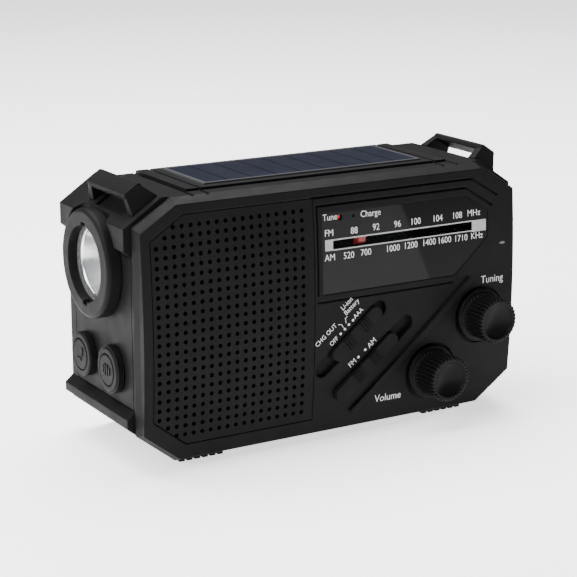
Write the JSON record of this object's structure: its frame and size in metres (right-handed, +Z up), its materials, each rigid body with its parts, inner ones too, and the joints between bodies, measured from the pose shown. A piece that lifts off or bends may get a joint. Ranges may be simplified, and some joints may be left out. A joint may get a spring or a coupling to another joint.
{
  "type": "emergency radio",
  "caption": "Hand-crank and solar emergency radio with torch, dial tuning, folding crank, telescopic antenna and strap brackets.",
  "frame": {"origin": "under the middle of the whole object, on the surface it stands on", "axes": "+X to the right seen from the front (the dial side), +Y from front to back, +Z up; the front faces -Y"},
  "size_m": [0.1704, 0.0764, 0.1046],
  "materials": {
    "black_plastic": "fine matte moulding, soft sheen",
    "grille_plastic": "fine matte moulding",
    "knob_plastic": "satin",
    "gear_plastic": "natural acetal",
    "grey_plastic": "moulded",
    "clear_window": "glossy, tinted",
    "clear_lens": "glossy",
    "dial_print": "printed black, light figures",
    "pointer_red": "bright",
    "lamp_red": "translucent",
    "cord_nylon": "braided",
    "mirror_chrome": "vacuum plated",
    "lamp_white": "phosphor and white board",
    "steel": "plated",
    "antenna_chrome": "polished tube",
    "nickel": "nickel plated strip",
    "solar_cells": "dark blue cells under a clear sheet",
    "circuit_board": "lacquered laminate",
    "paper_cone": "pressed paper",
    "ferrite": "sintered",
    "cell_wrap": "shrink sleeve",
    "aaa_wrap": "shrink sleeve",
    "rubber_black": "matte",
    "deck_plastic": "satin"
  },
  "bodies": {
    "case": {"front_housing": "black_plastic", "rear_housing": "black_plastic", "speaker_grille": "grille_plastic", "dial_lens": "clear_window", "dial_plate": "dial_print", "indicator_lamps": "lamp_red", "dial_cord": "cord_nylon", "tuning_capacitor": "grey_plastic", "volume_control": "steel", "power_switch": "steel", "band_switch": "steel", "speaker_basket": "steel", "speaker_cone": "paper_cone", "speaker_magnet": "ferrite", "main_board": "circuit_board", "left_side_panel": "black_plastic", "torch_bezel": "black_plastic", "torch_lens": "clear_lens", "torch_reflector": "mirror_chrome", "torch_lamp": "lamp_white", "torch_button_collar": "black_plastic", "alarm_button_collar": "black_plastic", "button_switches": "circuit_board", "siren": "grey_plastic", "solar_frame": "deck_plastic", "solar_panel": "solar_cells", "strap_bracket_left": "black_plastic", "strap_bracket_right": "black_plastic", "generator": "steel", "gear_plate": "grey_plastic", "aaa_cells": "aaa_wrap", "battery_contacts": "nickel", "lithium_cell": "cell_wrap", "ferrite_aerial": "ferrite", "usb_sockets": "nickel", "case_screws": "steel", "rubber_feet": "rubber_black"},
    "tuning": {"tuning_knob": "knob_plastic", "tuning_spindle": "grey_plastic"},
    "pointer": {"tuning_pointer": "pointer_red"},
    "pulley_left": {"cord_pulley_left": "grey_plastic"},
    "pulley_right": {"cord_pulley_right": "grey_plastic"},
    "volume": {"volume_knob": "knob_plastic", "volume_spindle": "steel"},
    "power_slide_knob": {"power_slider": "black_plastic"},
    "band_slide_knob": {"band_slider": "black_plastic"},
    "torch_push": {"torch_button": "black_plastic"},
    "alarm_push": {"alarm_button": "black_plastic"},
    "crank": {"crank_arm": "black_plastic", "crank_gear": "gear_plastic"},
    "grip_stem": {"grip_spindle": "steel"},
    "grip": {"crank_grip": "black_plastic"},
    "idler": {"idler_gear": "gear_plastic"},
    "generator_rotor": {"generator_pinion": "gear_plastic"},
    "antenna_swivel_block": {"antenna_base": "steel"},
    "antenna_mast": {"antenna_outer": "antenna_chrome"},
    "antenna_mid": {"antenna_middle": "antenna_chrome"},
    "antenna_end": {"antenna_inner": "antenna_chrome"},
    "battery_lid": {"battery_door": "black_plastic"},
    "usb_flap": {"usb_cover": "rubber_black"}
  },
  "joints": [
    {"name": "tuning_turn", "type": "hinge", "parent": "case", "child": "tuning", "pos_m": [0.06625, -0.025, 0.0403], "axis": [0, 1, 0], "range_deg": [-41, 265]},
    {"name": "pointer_slide", "type": "slide", "parent": "case", "child": "pointer", "axis": [1, 0, 0], "range_m": [-0.0069, 0.0443]},
    {"name": "pulley_left_turn", "type": "hinge", "parent": "case", "child": "pulley_left", "pos_m": [-0.00075, -0.016, 0.08], "axis": [0, 1, 0], "range_deg": [-112, 716]},
    {"name": "pulley_right_turn", "type": "hinge", "parent": "case", "child": "pulley_right", "pos_m": [0.06375, -0.016, 0.08], "axis": [0, 1, 0], "range_deg": [-112, 716]},
    {"name": "volume_turn", "type": "hinge", "parent": "case", "child": "volume", "pos_m": [0.04405, -0.025, 0.0204], "axis": [0, 1, 0], "range_deg": [-150, 150]},
    {"name": "power_slide", "type": "slide", "parent": "case", "child": "power_slide_knob", "axis": [0.7716, 0, 0.6361], "range_m": [-0.0047, 0.0023]},
    {"name": "band_slide", "type": "slide", "parent": "case", "child": "band_slide_knob", "axis": [0.7716, 0, 0.6361], "range_m": [0, 0.0039]},
    {"name": "torch_press", "type": "slide", "parent": "case", "child": "torch_push", "axis": [1, 0, 0], "range_m": [0, 0.0012], "stiffness_N_per_m": 400},
    {"name": "alarm_press", "type": "slide", "parent": "case", "child": "alarm_push", "axis": [1, 0, 0], "range_m": [0, 0.0012], "stiffness_N_per_m": 400},
    {"name": "crank_turn", "type": "hinge", "parent": "case", "child": "crank", "pos_m": [0.03325, 0.03, 0.05], "axis": [0, 1, 0], "continuous": true},
    {"name": "grip_fold", "type": "hinge", "parent": "crank", "child": "grip_stem", "pos_m": [0.03325, 0.0337, 0.0785], "axis": [1, 0, 0], "range_deg": [0, 90]},
    {"name": "grip_spin", "type": "hinge", "parent": "grip_stem", "child": "grip", "pos_m": [0.03325, 0.0337, 0.0685], "axis": [0, 0, 1], "continuous": true},
    {"name": "idler_turn", "type": "hinge", "parent": "case", "child": "idler", "pos_m": [0.05305, 0.02, 0.0698], "axis": [0, 1, 0], "continuous": true},
    {"name": "generator_turn", "type": "hinge", "parent": "case", "child": "generator_rotor", "pos_m": [0.06355, 0.016, 0.05161], "axis": [0, 1, 0], "continuous": true},
    {"name": "antenna_swivel", "type": "hinge", "parent": "case", "child": "antenna_swivel_block", "pos_m": [-0.05375, 0.0329, 0.0936], "axis": [0, -1, 0], "range_deg": [0, 135]},
    {"name": "antenna_tilt", "type": "hinge", "parent": "antenna_swivel_block", "child": "antenna_mast", "pos_m": [-0.05375, 0.0329, 0.0936], "axis": [0, 0, 1], "range_deg": [0, 90]},
    {"name": "antenna_middle_slide", "type": "slide", "parent": "antenna_mast", "child": "antenna_mid", "axis": [1, 0, 0], "range_m": [0, 0.09]},
    {"name": "antenna_inner_slide", "type": "slide", "parent": "antenna_mid", "child": "antenna_end", "axis": [1, 0, 0], "range_m": [0, 0.088]},
    {"name": "battery_lid_hinge", "type": "hinge", "parent": "case", "child": "battery_lid", "pos_m": [-0.039, 0.0362, 0.0114], "axis": [-1, 0, 0], "range_deg": [0, 100]},
    {"name": "usb_flap_hinge", "type": "hinge", "parent": "case", "child": "usb_flap", "pos_m": [0.08115, 0.0124, 0.0269], "axis": [0, 1, 0], "range_deg": [0, 110]}
  ],
  "couplings": [
    {"joint": "pointer_slide", "follows": "tuning_turn", "m_per_rad": 0.00955},
    {"joint": "pulley_left_turn", "follows": "tuning_turn", "ratio": 2.69},
    {"joint": "pulley_right_turn", "follows": "tuning_turn", "ratio": 2.69},
    {"joint": "idler_turn", "follows": "crank_turn", "ratio": -4},
    {"joint": "generator_turn", "follows": "crank_turn", "ratio": 16}
  ]
}
